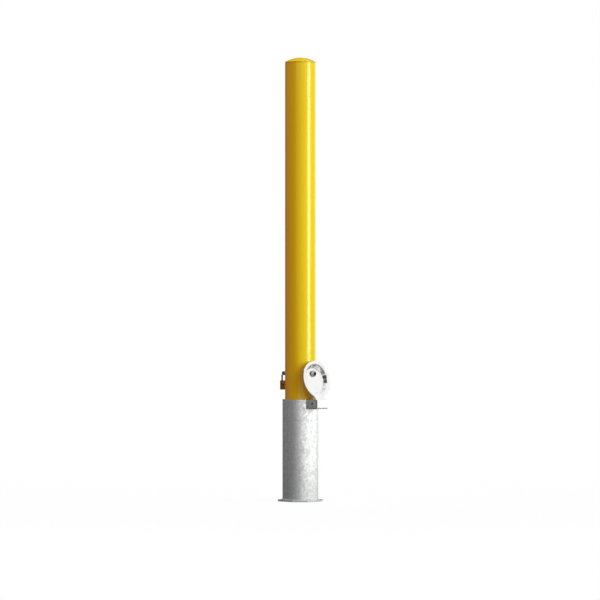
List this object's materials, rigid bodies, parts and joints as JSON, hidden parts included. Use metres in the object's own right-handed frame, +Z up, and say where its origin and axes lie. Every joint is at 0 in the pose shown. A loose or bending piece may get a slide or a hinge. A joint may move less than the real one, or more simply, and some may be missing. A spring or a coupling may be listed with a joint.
{
  "type": "removable bollard",
  "caption": "Round yellow post standing in a galvanised ground sleeve, with a hinged round lid, a through rod and a padlock.",
  "frame": {"origin": "middle of the base plate's underside, where the sleeve stands in its pit", "axes": "+Z up along the post, +X from the post's axis to the lid's hinge, -X to the padlock"},
  "size_m": [0.141, 0.106, 1.1027],
  "materials": {
    "galvanised_steel": "hot-dip galvanised, matt with a fine spangle",
    "yellow_paint": "glossy yellow baked paint",
    "polished_stainless": "polished stainless sheet",
    "plated_steel": "plated steel, semi-bright",
    "brass": "satin brass",
    "shackle_steel": "hardened steel, plated",
    "spring_steel": "spring steel"
  },
  "bodies": {
    "sleeve": {"base_plate": "galvanised_steel", "sleeve_tube": "galvanised_steel", "hinge_strap": "galvanised_steel", "hinge_cheek_left": "galvanised_steel", "hinge_cheek_right": "galvanised_steel", "hinge_pin": "spring_steel"},
    "lid": {"lid": "polished_stainless"},
    "post": {"post_tube": "yellow_paint", "post_cap": "yellow_paint", "rod_guide_tube": "yellow_paint"},
    "rod": {"locking_rod": "plated_steel"},
    "padlock": {"padlock_body": "brass", "padlock_shackle": "shackle_steel", "shackle_spring": "spring_steel", "latch_spring": "spring_steel", "driver_pins": "brass", "pin_springs": "spring_steel", "pin_cover_strip": "brass", "plug_retainer_pin": "spring_steel"},
    "plug": {"padlock_plug": "brass", "key_pins": "brass"},
    "latch": {"padlock_latch": "brass"}
  },
  "joints": [
    {"name": "post_lift", "type": "slide", "parent": "sleeve", "child": "post", "axis": [0, 0, 1], "range_m": [0, 0.0015]},
    {"name": "lid_swing", "type": "hinge", "parent": "sleeve", "child": "lid", "pos_m": [0.0595, 0, 0.2432], "axis": [0, 1, 0], "range_deg": [0, 12]},
    {"name": "rod_slide", "type": "slide", "parent": "post", "child": "rod", "axis": [1, 0, 0], "range_m": [0, 0.0142]},
    {"name": "padlock_swing", "type": "hinge", "parent": "rod", "child": "padlock", "pos_m": [-0.058, 0, 0.3172], "axis": [0, 1, 0], "range_deg": [0, 180]},
    {"name": "plug_turn", "type": "hinge", "parent": "padlock", "child": "plug", "pos_m": [-0.058, 0, 0.2762], "axis": [0, 0, 1], "range_deg": [0, 90]},
    {"name": "latch_slide", "type": "slide", "parent": "padlock", "child": "latch", "axis": [0, 1, 0], "range_m": [0, 0.0013], "deforming": ["latch_spring"]}
  ],
  "couplings": [
    {"joint": "rod_slide", "follows": "lid_swing", "m_per_rad": 0.0675},
    {"joint": "plug_turn", "follows": "latch_slide", "rad_per_m": 1208.3}
  ]
}
